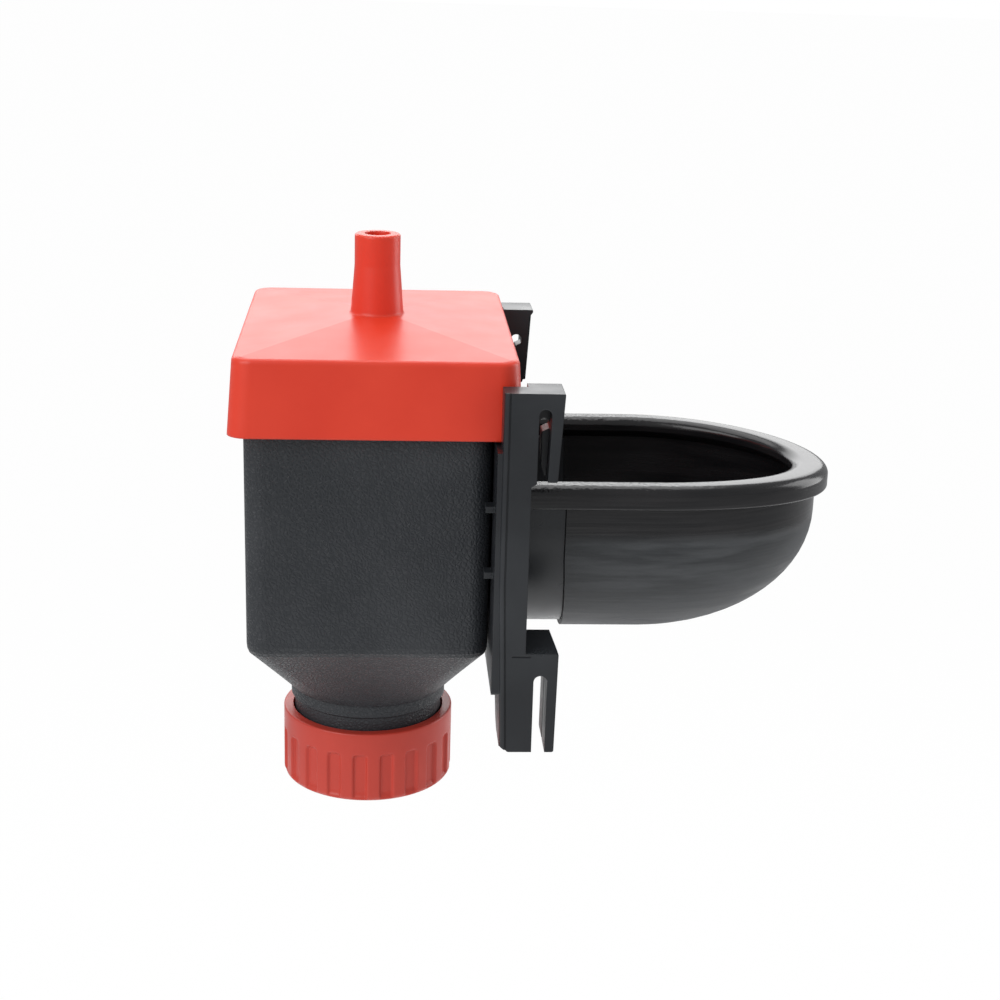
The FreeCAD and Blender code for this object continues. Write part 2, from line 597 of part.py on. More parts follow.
def make_upper_hook():
    """Upper hook on the +Y side: outside a plain tongue with a tall slot, inside a barbed one."""
    root, middle, low = POST_RIGHT - 1, POST_OUTER - RECESS_DEPTH, HOOK_BOTTOM
    foot = [(SLOT_LEFT, low, 0), (SLOT_LEFT, low - 0.4, 0), (root, low - 1.9, 0)]
    outer = prism([(root, POST_TOP, 0), (HOOK_TIP, POST_TOP, 0.3), (HOOK_TIP - HOOK_LEAN, low, 0.4)] + foot,
                  at_y(middle), V(0, RECESS_DEPTH, 0))
    tall = slot_profile(SLOT_LEFT, SLOT_WIDTH, RECESS_TOP, low - 2, TONGUE_LEAN)
    scoop = HOOK_TIP - SCOOP
    inner = prism([(root, POST_TOP, 0), (HOOK_TIP, POST_TOP, 0.3), (HOOK_TIP, POST_TOP - 0.7, 0),
                   (scoop, POST_TOP - 2.2, 1), (scoop - 0.5, low + 3.5, 1), (scoop - 1.5, low + 0.4, 0.4)]
                  + foot, at_y(HOOK_INNER), V(0, middle - HOOK_INNER, 0))
    half, right, tip = SLOT_WIDTH / 2 * 0.98, SLOT_LEFT + SLOT_WIDTH, SLOT_LEFT + THROAT
    seat = [(SLOT_LEFT, low - 2, 0), (SLOT_LEFT, SLOT_TOP, half), (right, SLOT_TOP, half),
            (right, BARB_LEDGE, 0.4), (tip, BARB_LEDGE - 0.9, 0.4), (tip, BARB_TIP, 1),
            (right - 0.2, low - 2, 0)]
    return outer.cut(prism(tall, at_y(middle - 1), V(0, RECESS_DEPTH + 2, 0))).fuse(
        inner.cut(prism(seat, at_y(HOOK_INNER - 1), V(0, middle - HOOK_INNER + 2, 0))))


def make_lower_hook():
    """Lower hook on the +Y side: deep block that narrows inwards, tongue as long as the post."""
    root, depth = POST_RIGHT - 1, POST_OUTER - LOW_HOOK_INNER
    outline = [(root, LOW_HOOK_TOP, 0), (LOW_HOOK_TIP, LOW_HOOK_TOP, 0.3),
               (LOW_HOOK_TIP - 0.4, POST_BOTTOM, 0.5), (root, POST_BOTTOM, 0)]
    hook = prism(outline, at_y(LOW_HOOK_INNER), V(0, depth, 0))
    wedge = prism([(LOW_HOOK_TIP - 1, LOW_HOOK_INNER - 1, 0), (LOW_HOOK_TIP + 1, LOW_HOOK_INNER - 1, 0),
                   (LOW_HOOK_TIP + 1, POST_OUTER + 1, 0), (LOW_HOOK_TIP, POST_OUTER, 0)],
                  at_z(POST_BOTTOM - 1), V(0, 0, LOW_HOOK_TOP - POST_BOTTOM + 2))
    slot = slot_profile(LOW_SLOT_LEFT, LOW_SLOT_WIDTH, LOW_SLOT_TOP, POST_BOTTOM, 0.1)
    middle = (LOW_HOOK_INNER + POST_OUTER) / 2
    face = LOW_SLOT_LEFT + LOW_SLOT_WIDTH
    groove = box(face - 1, face + 0.4, middle - 0.5, middle + 0.5, POST_BOTTOM - 1, LOW_SLOT_TOP - 1)
    return hook.cut([wedge, prism(slot, at_y(LOW_HOOK_INNER - 1), V(0, depth + 2, 0)), groove])


def make_nib(level):
    """Small locating nib beside the tank's corner."""
    return box(TANK_RIGHT - 1.9, PLATE_BACK + 0.5, TANK_HALF_Y + GAP, POST_INNER,
               level - NIB_HEIGHT / 2, level + NIB_HEIGHT / 2)


def lap_strip(slack):
    """U-shaped strip round the stub's lap where the bowl's seal lies, smaller by slack all round."""
    width = V(SEAL_WIDTH - 2 * slack, 0, 0)
    low, grow = SEAL_DEPTH - slack, GAP / 2
    outside = prism(trough(LAP_HALF + grow, LAP_CORNER + grow, LAP_FLOOR - grow, STUB_TOP - 1 - slack),
                    at_x(SEAL_X + slack), width)
    inside = prism(trough(LAP_HALF - low, LAP_CORNER - low, LAP_FLOOR + low, STUB_TOP + 1),
                   at_x(SEAL_X + slack), width)
    return outside.cut(inside)


def beyond_seam(shift):
    """Everything in front of the seam between stub and bowl, the seam moved along X by shift."""
    far = BOWL_STRAIGHT_END + 2 * BOWL_NOSE
    return prism([(BOWL_START + shift, 0, 0), (BOWL_START + shift, SEAM_BEND, 0),
                  (BOWL_START + shift + SEAM_LEAN, BOWL_FLOOR - 1, 0), (far, BOWL_FLOOR - 1, 0), (far, 0, 0)],
                 at_y(-BOWL_HALF - 1), V(0, 2 * BOWL_HALF + 2, 0))


def make_side():
    """All that stands on the bracket's +Y side, with a short mark across post and lower hook."""
    side = make_plate().fuse([make_post(), make_upper_hook(), make_lower_hook()]
                             + [make_nib(level) for level in NIB_LEVELS])
    return side.cut(box(POST_RIGHT - 3.3, POST_RIGHT + 1.4, POST_OUTER - 0.3, POST_OUTER + 1,
                        LOW_HOOK_TOP - 1.0, LOW_HOOK_TOP - 0.6))


def make_bracket():
    """Black bracket: plate, two posts with four hooks, the stub channel and the port's spigot."""
    side = make_side()
    stub = prism(trough(STUB_HALF, STUB_CORNER, STUB_FLOOR, STUB_TOP), at_x(PLATE_FRONT - 0.5),
                 V(BOWL_START + SEAM_LEAN - PLATE_FRONT, 0, 0)).cut(beyond_seam(-SEAT))
    lap = prism(trough(LAP_HALF, LAP_CORNER, LAP_FLOOR, STUB_TOP), at_x(BOWL_START - 1),
                V(LAP_END - BOWL_START + 1, 0, 0))
    spigot = port_prism(-GAP, TANK_RIGHT - TANK_WALL - 1.5, PLATE_FRONT)
    bracket = side.fuse([mirrored(side), stub, lap, spigot])
    hollow = prism(trough(STUB_HALF - STUB_WALL, STUB_CORNER - STUB_WALL, STUB_FLOOR + STUB_WALL, 0),
                   at_x(PLATE_FRONT), V(BOWL_START - 2 - PLATE_FRONT, 0, 0))
    lap_hollow = prism(trough(LAP_HALF - LAP_WALL, LAP_CORNER - LAP_WALL, LAP_FLOOR + LAP_WALL, 0),
                       at_x(PLATE_FRONT), V(LAP_END - PLATE_FRONT + 1, 0, 0))
    bore = port_prism(-GAP - PORT_WALL, TANK_RIGHT - TANK_WALL - 3, PLATE_FRONT + 1)
    groove = seal_ring(0)
    screws = [cross_tube(FIX_R + 0.2, PLATE_BACK - 1, PLATE_FRONT + 1, y, FIX_Z) for y in (-FIX_Y, FIX_Y)]
    return bracket.cut([hollow, lap_hollow, bore, groove, lap_strip(0)] + screws).removeSplitter()


def seal_ring(slack):
    """Oblong band round the port: the plate's groove, or the seal that fills it less its slack."""
    back = TANK_RIGHT + slack
    front = PLATE_BACK + SEAL_GROOVE - slack
    band = port_prism(SEAL_START + SEAL_BAND - slack, back, front)
    return band.cut(port_prism(SEAL_START + slack, back - 1, front + 1))


def make_bracket_screws():
    """Two pan-head screws that hold the plate to the tank's bosses."""
    screws = []
    for y in (-FIX_Y, FIX_Y):
        head = PLATE_FRONT + RUN
        shank = cross_tube(FIX_R, TANK_RIGHT - TANK_WALL - 4.6, head + 1, y, FIX_Z)
        cap = Part.makeCone(FIX_HEAD_R, FIX_HEAD_R - 1, 2.2, V(head, y, FIX_Z), V(1, 0, 0))
        screw = shank.fuse(cap)
        for turn in (0, 90):
            slot = box(head + 1, head + 3, y - 1.9, y + 1.9, FIX_Z - 0.35, FIX_Z + 0.35)
            screw = screw.cut(slot.rotate(V(0, y, FIX_Z), V(1, 0, 0), turn))
        screws.append(screw)
    return Part.makeCompound(screws)


# ---- bowl ------------------------------------------------------------------------------------
def rim_section():
    """Rolled rim from its outer lower edge over the top to the wall inside, as corners in (y, z)."""
    outer, lip = BOWL_HALF + RIM_OUT, BOWL_INNER - RIM_IN
    return [(outer, RIM_LOW, 0.7), (outer, RIM_TOP, RIM_ROUND), (lip, RIM_TOP, RIM_ROUND),
            (lip, RIM_TOP - LIP_HEIGHT, 0.8), (BOWL_INNER, RIM_LOW, 0)]


def bowl_section():
    """Half section of wall and rolled rim, from the middle plane outwards, as corners in (y, z)."""
    floor = BOWL_FLOOR + BOWL_WALL
    return ([(0, BOWL_FLOOR, 0), (BOWL_HALF, BOWL_FLOOR, BOWL_CORNER), (BOWL_HALF, RIM_LOW, 0.4)]
            + rim_section() + [(BOWL_INNER, floor, BOWL_CORNER - BOWL_WALL), (0, floor, 0)])


def make_bowl():
    """Trough bowl: straight U with a rolled rim, its section swept round the long falling nose."""
    end = BOWL_STRAIGHT_END
    face = Part.Face(rounded_wire(bowl_section(), at_x(end)))
    straight = face.extrude(V(BOWL_START - end, 0, 0))
    long = BOWL_NOSE / BOWL_HALF
    fall = -NOSE_DROP * long
    stretch = FreeCAD.Matrix(long, 0, 0, end * (1 - long), 0, 1, 0, 0, fall, 0, 1, -fall * end, 0, 0, 0, 1)
    nose = face.revolve(V(end, 0, 0), V(0, 0, 1), -90).transformGeometry(stretch)
    half = straight.fuse(nose).common(beyond_seam(0))
    prong = prism(rim_section(), at_x(BOWL_START + 1), V(PLATE_FRONT + GAP - BOWL_START - 1, 0, 0))
    half = half.fuse(prong)
    return half.fuse(mirrored(half)).removeSplitter()


# ---- drain cap -------------------------------------------------------------------------------
def make_cap():
    """Red drain cap: fluted grip with a plain band above and a rounded lower edge."""
    cap = tube(CAP_R, CAP_BOTTOM, CAP_TOP)
    cap = cap.makeFillet(CAP_EDGE, level_edges(cap, CAP_BOTTOM))
    cap = cap.makeFillet(0.5, level_edges(cap, CAP_TOP))
    cap = cap.cut(tube(CAP_BORE, CAP_INSIDE, CAP_TOP + 1))
    reach = CAP_R + FLUTE_R - FLUTE_DEPTH
    groove = tube(FLUTE_R, CAP_BOTTOM - 1, FLUTE_TOP - FLUTE_R, reach)
    groove = groove.fuse(Part.makeSphere(FLUTE_R, V(reach, 0, FLUTE_TOP - FLUTE_R)))
    cuts = [groove.rotated(V(0, 0, 0), V(0, 0, 1), FLUTE_TURN + 360 / FLUTES * i)
            for i in range(FLUTES)]
    return cap.cut(cuts).translated(V(NECK_X, 0, 0))


def make_gasket():
    """Flat rubber washer between the neck's end and the cap's floor."""
    outer = tube(CAP_BORE - GAP, CAP_INSIDE + RUN, NECK_BOTTOM - RUN, NECK_X)
    return outer.cut(tube(NECK_BORE + 0.5, CAP_INSIDE - 1, NECK_BOTTOM + 1, NECK_X))


PIECES = {
    "lid": make_lid,
    "inlet_strainer": make_strainer,
    "valve_body": make_valve_body,
    "valve_body_ring": make_body_ring,
    "valve_jet": make_jet,
    "valve_screws": make_valve_screws,
    "valve_pad": make_pad,
    "float_lever": make_lever,
    "lever_pin": make_pin,
    "pin_clip": make_pin_clip,
    "float_stem": make_stem,
    "float_nuts": make_nuts,
    "float": make_float,
    "tank": make_tank,
    "bracket": make_bracket,
    "bracket_screws": make_bracket_screws,
    "port_seal": lambda: seal_ring(RUN),
    "bowl": make_bowl,
    "bowl_seal": lambda: lap_strip(RUN),
    "drain_cap": make_cap,
    "cap_gasket": make_gasket,
}

os.makedirs("parts", exist_ok=True)
for name, make in PIECES.items():
    shape = make().translated(-ORIGIN)
    shape.exportStep(f"parts/{name}.step")
    print(name, "solids", len(shape.Solids), "valid", shape.isValid(), "cm3", round(shape.Volume / 1000, 3))
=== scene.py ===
# %% [markdown]
# # Float cup drinker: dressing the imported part
# The drinker hangs on a cage by four hooks. A red lid carries the hose spigot and a float valve,
# a black tank narrows to a neck with a red drain cap, and a black bowl reaches into the cage.
# The solids are already in place. This lesson gives them their finishes, and rebuilds as fine
# surfaces the two pieces whose curves the eye follows most: the bowl and the fluted cap.

import bpy
import bmesh
import math
import numpy as np
from mathutils import Matrix, Vector


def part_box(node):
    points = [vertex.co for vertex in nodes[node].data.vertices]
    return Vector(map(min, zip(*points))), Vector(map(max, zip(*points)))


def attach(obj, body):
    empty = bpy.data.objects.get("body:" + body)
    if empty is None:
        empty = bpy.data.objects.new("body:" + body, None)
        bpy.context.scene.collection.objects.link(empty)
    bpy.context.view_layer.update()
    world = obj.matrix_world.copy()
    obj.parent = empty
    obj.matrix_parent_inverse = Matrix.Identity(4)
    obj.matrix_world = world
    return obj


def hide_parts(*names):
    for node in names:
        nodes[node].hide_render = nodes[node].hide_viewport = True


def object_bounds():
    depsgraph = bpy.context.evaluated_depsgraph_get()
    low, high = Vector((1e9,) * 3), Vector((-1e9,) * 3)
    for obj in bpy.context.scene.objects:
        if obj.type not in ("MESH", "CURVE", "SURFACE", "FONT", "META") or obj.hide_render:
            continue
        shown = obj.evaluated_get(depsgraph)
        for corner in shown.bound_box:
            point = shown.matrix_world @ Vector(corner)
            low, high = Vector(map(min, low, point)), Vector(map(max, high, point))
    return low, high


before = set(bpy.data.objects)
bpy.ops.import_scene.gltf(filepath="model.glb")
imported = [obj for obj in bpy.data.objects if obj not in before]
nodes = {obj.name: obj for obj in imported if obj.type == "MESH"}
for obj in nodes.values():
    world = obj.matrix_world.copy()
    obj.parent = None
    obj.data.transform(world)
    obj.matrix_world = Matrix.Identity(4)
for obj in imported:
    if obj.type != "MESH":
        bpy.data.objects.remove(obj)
cad_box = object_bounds()
print("nodes", len(nodes), "box", [tuple(round(c, 4) for c in corner) for corner in cad_box])

# %% [markdown]
# ## One set of axes
# Sizes below are in millimetres about the inlet: x = y = 0 on the spigot's axis and z = 0 at the
# lid's lower edge. The lid's own box says where that is in the frame, so nothing is placed by eye.

# %% Inlet axes
MM = 0.001
lid_low, lid_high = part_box("lid")
INLET = np.array([(lid_low.x + lid_high.x) / 2, 0.0, lid_low.z])


def in_frame(points):
    """Millimetres about the inlet to metres in the frame: p * 0.001 + inlet."""
    return np.asarray(points, float) * MM + INLET


print("inlet axis at", INLET.round(5))

# %% [markdown]
# ## The camera first
# The view is set before any finish, because grain, gloss and edge light can only be judged from
# the place they are seen from. The camera stands half a metre away, a little above the lid, looking
# 17 degrees down, with a slight turn and roll.

# %% Camera
LENS, SENSOR = 66.6, 36.0
YAW, PITCH, ROLL = (math.radians(a) for a in (3.93, 17.0, 1.71))
CAMERA_AT = (0.86, -479.61, 117.48)

ahead = Vector((math.sin(YAW) * math.cos(PITCH), math.cos(YAW) * math.cos(PITCH), -math.sin(PITCH)))
level = Vector((math.cos(YAW), -math.sin(YAW), 0.0))
upward = level.cross(ahead)
right = level * math.cos(ROLL) + upward * math.sin(ROLL)
up = upward * math.cos(ROLL) - level * math.sin(ROLL)
camera = bpy.data.objects.new("camera", bpy.data.cameras.new("camera"))
camera.data.lens, camera.data.sensor_width = LENS, SENSOR
camera.data.clip_start, camera.data.clip_end = 0.02, 20.0
turn = Matrix((right, up, -ahead)).transposed().to_4x4()
camera.matrix_world = Matrix.Translation(Vector(in_frame(CAMERA_AT))) @ turn
bpy.context.scene.collection.objects.link(camera)
bpy.context.scene.camera = camera
print("camera at", tuple(round(c, 3) for c in camera.matrix_world.translation))

# %% [markdown]
# ## Meshes from whole arrays
# A moulded surface is a function of two parameters. It is worked out on a grid as one array, and
# the grid's cells become the faces. Points that coincide, at a pole or where two patches meet, are
# merged afterwards, so that each piece is one closed skin.

# %% Mesh helpers
MERGE_WITHIN = 2e-6


def grid_faces(rows, columns, start=0, wrap=False):
    """Quads of a grid stored row by row: (r, c), (r+1, c), (r+1, c+1), (r, c+1), c wrapping if asked."""
    r, c = np.meshgrid(np.arange(rows - 1), np.arange(columns if wrap else columns - 1), indexing="ij")
    near = (c + 1) % columns
    corners = (r * columns + c, (r + 1) * columns + c, (r + 1) * columns + near, r * columns + near)
    return (np.stack(corners, -1).reshape(-1, 4) + start).tolist()


def make_piece(name, points, faces, body, finish, sharp=32, outer=None):
    """A closed, smooth-shaded piece from millimetre points, riding on a body; outer marks its points."""
    mesh = bpy.data.meshes.new(name)
    mesh.from_pydata(in_frame(np.reshape(points, (-1, 3))).tolist(), [], faces)
    if outer is not None:
        mesh.attributes.new("outer", "FLOAT", "POINT").data.foreach_set("value", outer)
    skin = bmesh.new()
    skin.from_mesh(mesh)
    bmesh.ops.remove_doubles(skin, verts=skin.verts, dist=MERGE_WITHIN)
    bmesh.ops.recalc_face_normals(skin, faces=skin.faces)
    skin.to_mesh(mesh)
    open_edges = sum(len(e.link_faces) != 2 for e in skin.edges)
    skin.free()
    mesh.shade_smooth()
    mesh.set_sharp_from_angle(angle=math.radians(sharp))
    mesh.materials.append(finish)
    piece = bpy.data.objects.new(name, mesh)
    bpy.context.scene.collection.objects.link(piece)
    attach(piece, body)
    print(name, "faces", len(mesh.polygons), "open edges", open_edges)
    return piece


def rounded_profile(corners, step=5.0):
    """Polyline through corners (u, v, radius); an arc is centre + radius * (cos a, sin a), a every step."""
    at = np.array([c[:2] for c in corners], float)
    runs = []
    for i, (_, _, radius) in enumerate(corners):
        if not radius:
            runs.append(at[i:i + 1])
            continue
        back, onward = at[i - 1] - at[i], at[i + 1] - at[i]
        back, onward = back / np.hypot(*back), onward / np.hypot(*onward)
        half = math.acos(float(back @ onward)) / 2
        middle = (back + onward) / np.hypot(*(back + onward))
        centre = at[i] + middle * radius / math.sin(half)
        first = at[i] + back * radius / math.tan(half) - centre
        last = at[i] + onward * radius / math.tan(half) - centre
        swing = math.atan2(first[0] * last[1] - first[1] * last[0], float(first @ last))
        count = max(3, int(abs(math.degrees(swing)) / step) + 2)
        a = math.atan2(first[1], first[0]) + np.linspace(0, swing, count)
        runs.append(centre + radius * np.stack([np.cos(a), np.sin(a)], -1))
    return np.concatenate(runs)


print("grid of 3 x 4 points:", len(grid_faces(3, 4)), "faces, wrapped:", len(grid_faces(3, 4, wrap=True)))


# %% [markdown]
# ## How a finish is put together
# Moulded plastic is never one flat colour: the pigment clouds a little, the gloss changes with
# handling, and the mould's own texture catches the light. So each finish has a cloudy colour, a
# cloudy roughness, and a bump at the scale of its grain, all read from object coordinates.

# %% Finish helpers
def new_finish(name, metallic=0.0, level=0.5):
    """A material with a Principled shader: returns it, its tree, the shader and object coordinates."""
    finish = bpy.data.materials.new(name)
    finish.use_nodes = True
    tree = finish.node_tree
    shader = tree.nodes["Principled BSDF"]
    shader.inputs["Metallic"].default_value = metallic
    shader.inputs["Specular IOR Level"].default_value = level
    return finish, tree, shader, tree.nodes.new("ShaderNodeTexCoord").outputs["Object"]


def clouds(tree, place, scale, detail=4.0, stretch=(1, 1, 1)):
    """Noise of about 1/scale metres, longer where stretch is small. Output: 0 to 1 round 0.5."""
    mapping = tree.nodes.new("ShaderNodeMapping")
    mapping.inputs["Scale"].default_value = stretch
    noise = tree.nodes.new("ShaderNodeTexNoise")
    noise.inputs["Scale"].default_value = scale
    noise.inputs["Detail"].default_value = detail
    tree.links.new(place, mapping.inputs["Vector"])
    tree.links.new(mapping.outputs["Vector"], noise.inputs["Vector"])
    return noise.outputs[0]


def remap(tree, value, low, high, to_low, to_high):
    """Linear change of range: low..high becomes to_low..to_high, clamped."""
    node = tree.nodes.new("ShaderNodeMapRange")
    for socket, number in zip(list(node.inputs)[1:5], (low, high, to_low, to_high)):
        socket.default_value = number
    tree.links.new(value, node.inputs[0])
    return node.outputs[0]


def two_tone(tree, value, dark, light, low=0.35, high=0.65):
    """Colour from dark to light as value goes from low to high."""
    ramp = tree.nodes.new("ShaderNodeValToRGB")
    for stop, place, colour in zip(ramp.color_ramp.elements, (low, high), (dark, light)):
        stop.position, stop.color = place, (*colour, 1.0)
    tree.links.new(value, ramp.inputs["Fac"])
    return ramp.outputs["Color"]


def maths(tree, operation, a, b):
    """One arithmetic step on two values, either of which may be a number."""
    node = tree.nodes.new("ShaderNodeMath")
    node.operation = operation
    for socket, value in zip(node.inputs, (a, b)):
        if isinstance(value, (int, float)):
            socket.default_value = value
        else:
            tree.links.new(value, socket)
    return node.outputs[0]


def raise_bump(tree, shader, height, strength, depth_mm, soft_edge_mm=0.0):
    """Bump from a height, on top of softened edges where the piece needs them."""
    bump = tree.nodes.new("ShaderNodeBump")
    bump.inputs["Strength"].default_value = strength
    bump.inputs["Distance"].default_value = depth_mm * MM
    tree.links.new(height, bump.inputs["Height"])
    if soft_edge_mm:
        edge = tree.nodes.new("ShaderNodeBevel")
        edge.samples = 6
        edge.inputs["Radius"].default_value = soft_edge_mm * MM
        tree.links.new(edge.outputs["Normal"], bump.inputs["Normal"])
    tree.links.new(bump.outputs["Normal"], shader.inputs["Normal"])


def moulded(name, dark, light, rough, cloud=40, grain=900, strength=0.15, depth_mm=0.05, edge_mm=0.0,
            metallic=0.0, level=0.5):
    """The common finish: clouded colour, roughness rough[0]..rough[1], fine grain as bump."""
    finish, tree, shader, place = new_finish(name, metallic, level)
    tree.links.new(two_tone(tree, clouds(tree, place, cloud), dark, light), shader.inputs["Base Color"])
    gloss = remap(tree, clouds(tree, place, cloud * 3), 0.3, 0.7, *rough)
    tree.links.new(gloss, shader.inputs["Roughness"])
    raise_bump(tree, shader, clouds(tree, place, grain, 2.0), strength, depth_mm, edge_mm)
    return finish


# %% [markdown]
# ## Red plastic
# Lid and cap are glossy red polypropylene, the cap's a shade duller. It shows faint flow clouds,
# and the lid's edges are soft from the mould, which the bevel shader adds without touching the solid.

# %% Red finishes
RED_DARK, RED_LIGHT = (0.76, 0.043, 0.017), (0.84, 0.058, 0.024)
CAP_DARK, CAP_LIGHT = (0.52, 0.043, 0.026), (0.62, 0.056, 0.034)
lid_red = moulded("lid_red", RED_DARK, RED_LIGHT, (0.33, 0.38), 30, 1300, 0.10, 0.04, 0.8)
cap_red = moulded("cap_red", CAP_DARK, CAP_LIGHT, (0.30, 0.40), 30, 1300, 0.12, 0.04)
print("finishes:", lid_red.name, cap_red.name)

# %% [markdown]
# ## Grained black of the tank
# The tank's mould is etched with a fine leather grain: small cells with worn tops. Voronoi cells,
# pushed about by noise so that they are not all alike, give the grain; its furrows are duller.

# %% Tank finish
GRAIN_CELLS, GRAIN_WANDER = 950.0, 0.0009


def grained_black():
    """Black with leather grain: height = distance to the nearest cell edge, roughness falling with it."""
    finish, tree, shader, place = new_finish("tank_grain", level=0.45)
    wander = tree.nodes.new("ShaderNodeVectorMath")
    wander.operation = "MULTIPLY_ADD"
    noise = tree.nodes.new("ShaderNodeTexNoise")
    noise.inputs["Scale"].default_value = 600.0
    tree.links.new(place, noise.inputs["Vector"])
    tree.links.new(noise.outputs["Color"], wander.inputs[0])
    wander.inputs[1].default_value = (GRAIN_WANDER,) * 3
    tree.links.new(place, wander.inputs[2])
    cells = tree.nodes.new("ShaderNodeTexVoronoi")
    cells.feature = "DISTANCE_TO_EDGE"
    cells.inputs["Scale"].default_value = GRAIN_CELLS
    tree.links.new(wander.outputs[0], cells.inputs["Vector"])
    height = remap(tree, cells.outputs["Distance"], 0.0, 0.28, 0.0, 1.0)
    shade = maths(tree, "ADD", clouds(tree, place, 30), maths(tree, "MULTIPLY", height, 0.16))
    tree.links.new(two_tone(tree, shade, (0.018, 0.021, 0.025), (0.038, 0.041, 0.046), 0.40, 0.78),
                   shader.inputs["Base Color"])
    tree.links.new(remap(tree, height, 0.0, 1.0, 0.55, 0.36), shader.inputs["Roughness"])
    raise_bump(tree, shader, height, 0.9, 0.11)
    return finish


tank_black = grained_black()
print("finish:", tank_black.name, "with", GRAIN_CELLS, "grain cells a metre")

# %% [markdown]
# ## Smooth black of bracket and bowl
# Bracket and bowl come from polished moulds. The bowl's outer wall is painted a lighter grey with
# level streaks, a painted sheen; its rim and inside are painted near black, a painted shade, and are
# glossier, with a dimpled band on top where beaks and grit have worn it. Streaks are noise stretched
# along x, the band is picked out by height, and the outer wall is marked on the mesh itself.

# %% Bracket and bowl finishes
RIM_TOP = -14.3
WORN_FROM, WORN_FULL = 2.2, 0.8
WORN_END_X, WORN_FADE = 96.0, 30.0
bracket_black = moulded("bracket_satin", (0.013, 0.015, 0.018), (0.028, 0.031, 0.035), (0.26, 0.40),
                        28, 1500, 0.15, 0.03, 0.35)


def sheen_and_shade_black():
    """Outer wall painted a lighter streaked grey, a painted sheen; rim and inside painted near black, a painted
    shade, and glossier; dimples within 2 mm of the rim's top.
    """
    finish, tree, shader, place = new_finish("bowl_painted_sheen_and_shade")
    streaks = clouds(tree, place, 90, 6.0, (0.5, 0.5, 4.0))
    marked = tree.nodes.new("ShaderNodeAttribute")
    marked.attribute_name = "outer"
    # Painted sheen on the outer wall (lighter streaked grey) and painted shade on the rim and inside (near black),
    # mixed by the outer-wall mark.
    painted_sheen_grey = two_tone(tree, streaks, (0.022, 0.025, 0.028), (0.062, 0.066, 0.070), 0.40, 0.62)
    painted_shade_black = two_tone(tree, streaks, (0.007, 0.007, 0.008), (0.016, 0.015, 0.016), 0.38, 0.68)
    sheen_shade_mix = tree.nodes.new("ShaderNodeMix")
    sheen_shade_mix.data_type = "RGBA"
    tree.links.new(marked.outputs["Fac"], sheen_shade_mix.inputs["Factor"])
    tree.links.new(painted_shade_black, sheen_shade_mix.inputs[6])
    tree.links.new(painted_sheen_grey, sheen_shade_mix.inputs[7])
    tree.links.new(sheen_shade_mix.outputs[2], shader.inputs["Base Color"])
    axes = tree.nodes.new("ShaderNodeSeparateXYZ")
    tree.links.new(place, axes.inputs[0])
    worn_x, _, rim_z = (float(c) for c in in_frame((WORN_END_X, 0, RIM_TOP)))
    band = remap(tree, axes.outputs["Z"], rim_z - WORN_FROM * MM, rim_z - WORN_FULL * MM, 0.0, 1.0)
    near = remap(tree, axes.outputs["X"], worn_x, worn_x - WORN_FADE * MM, 0.0, 1.0)
    band = maths(tree, "MULTIPLY", maths(tree, "MULTIPLY", band, near), 2.4)
    dimples = maths(tree, "MULTIPLY", clouds(tree, place, 850, 2.0), band)
    fine = maths(tree, "MULTIPLY", clouds(tree, place, 1600, 2.0), 0.10)
    scratches = maths(tree, "MULTIPLY", clouds(tree, place, 260, 5.0, (0.12, 0.12, 4.0)), 0.8)
    height = maths(tree, "ADD", maths(tree, "ADD", dimples, fine), scratches)
    dull = maths(tree, "MULTIPLY", remap(tree, streaks, 0.35, 0.70, 0.20, 0.46), marked.outputs["Fac"])
    tree.links.new(maths(tree, "ADD", dull, 0.20), shader.inputs["Roughness"])
    raise_bump(tree, shader, height, 0.7, 0.14)
    return finish


bowl_black = sheen_and_shade_black()
print("finishes:", bracket_black.name, bowl_black.name)

# %% [markdown]
# ## The inside pieces
# The float valve sits under the lid and shows when the lid is lifted: natural plastic levers, a
# foam float, brass jet and stem, stainless pin and screws, and black rubber seals. The stem's
# thread is a wave along z, because its ridges are a tenth of a millimetre high.

# %% Inside finishes
natural = moulded("natural_plastic", (0.62, 0.61, 0.56), (0.74, 0.73, 0.69), (0.42, 0.55), 60, 1200, 0.15)
foam = moulded("float_foam", (0.70, 0.68, 0.61), (0.83, 0.82, 0.77), (0.70, 0.85), 120, 1400, 0.6, 0.12)
rubber = moulded("seal_rubber", (0.012, 0.012, 0.012), (0.022, 0.022, 0.022), (0.60, 0.75), 150, 1800, 0.3)
steel = moulded("stainless", (0.50, 0.50, 0.51), (0.62, 0.62, 0.62), (0.22, 0.36), 200, 2500, 0.15,
                0.02, 0.15, 1.0)
brass = moulded("turned_brass", (0.60, 0.42, 0.17), (0.74, 0.55, 0.26), (0.22, 0.36), 200, 2500, 0.15,
                0.02, 0.15, 1.0)


STEM_PITCH = 0.7


def threaded_brass():
    """Brass whose bump is a wave along z with the thread's pitch."""
    finish, tree, shader, place = new_finish("threaded_brass", 1.0)
    tree.links.new(two_tone(tree, clouds(tree, place, 300), (0.58, 0.41, 0.17), (0.72, 0.54, 0.26)),
                   shader.inputs["Base Color"])
    tree.links.new(remap(tree, clouds(tree, place, 700), 0.3, 0.7, 0.28, 0.42), shader.inputs["Roughness"])
    wave = tree.nodes.new("ShaderNodeTexWave")
    wave.bands_direction = "Z"
    wave.inputs["Scale"].default_value = 2 * math.pi / 20 / (STEM_PITCH * MM)
    tree.links.new(place, wave.inputs["Vector"])
    raise_bump(tree, shader, wave.outputs["Fac"], 0.8, 0.12)
    return finish


